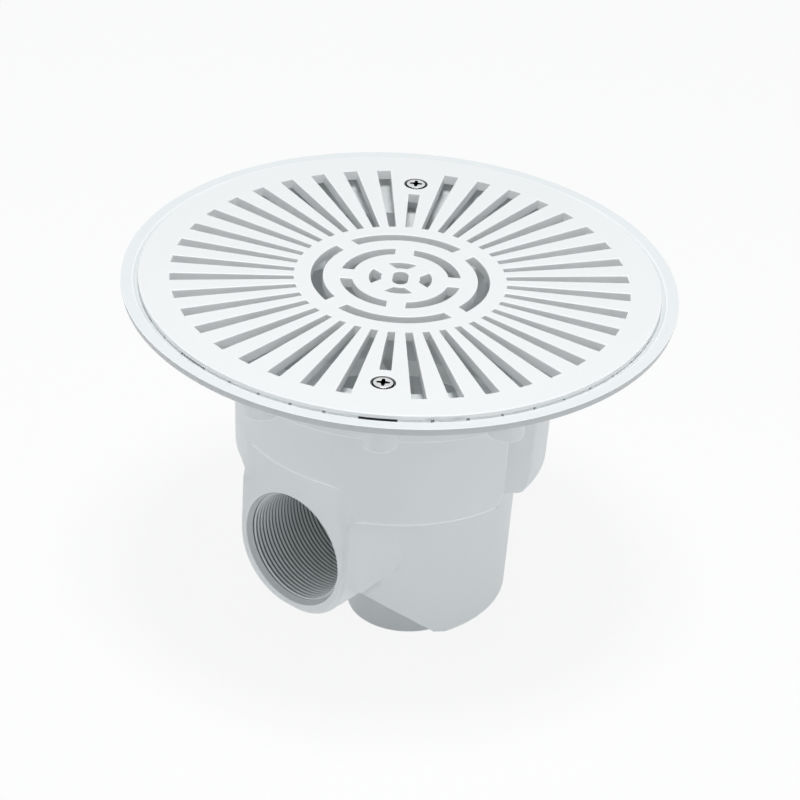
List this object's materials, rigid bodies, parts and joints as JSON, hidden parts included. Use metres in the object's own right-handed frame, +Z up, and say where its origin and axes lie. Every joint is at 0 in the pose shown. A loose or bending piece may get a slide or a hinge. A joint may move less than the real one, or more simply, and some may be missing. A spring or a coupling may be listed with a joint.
{
  "type": "pool main drain",
  "caption": "Round pool main drain: a slotted grille screwed into a flanged bowl, with a threaded side outlet and a threaded bottom port for a relief valve.",
  "frame": {"origin": "under the body's axis, at the level of the bottom port's end, which is the lowest point", "axes": "+Z up along the body's axis, out through the grille; -Y out of the side outlet; +X to the right seen from the outlet"},
  "size_m": [0.2746, 0.2746, 0.2023],
  "materials": {
    "body_plastic": "white moulded ABS, satin",
    "grille_plastic": "white moulded ABS, satin",
    "screw_steel": "plain stainless steel",
    "insert_brass": "plain turned brass"
  },
  "bodies": {
    "root": {"drain_body": "body_plastic", "grille": "grille_plastic", "grille_screws": "screw_steel", "screw_inserts": "insert_brass"}
  },
  "joints": []
}
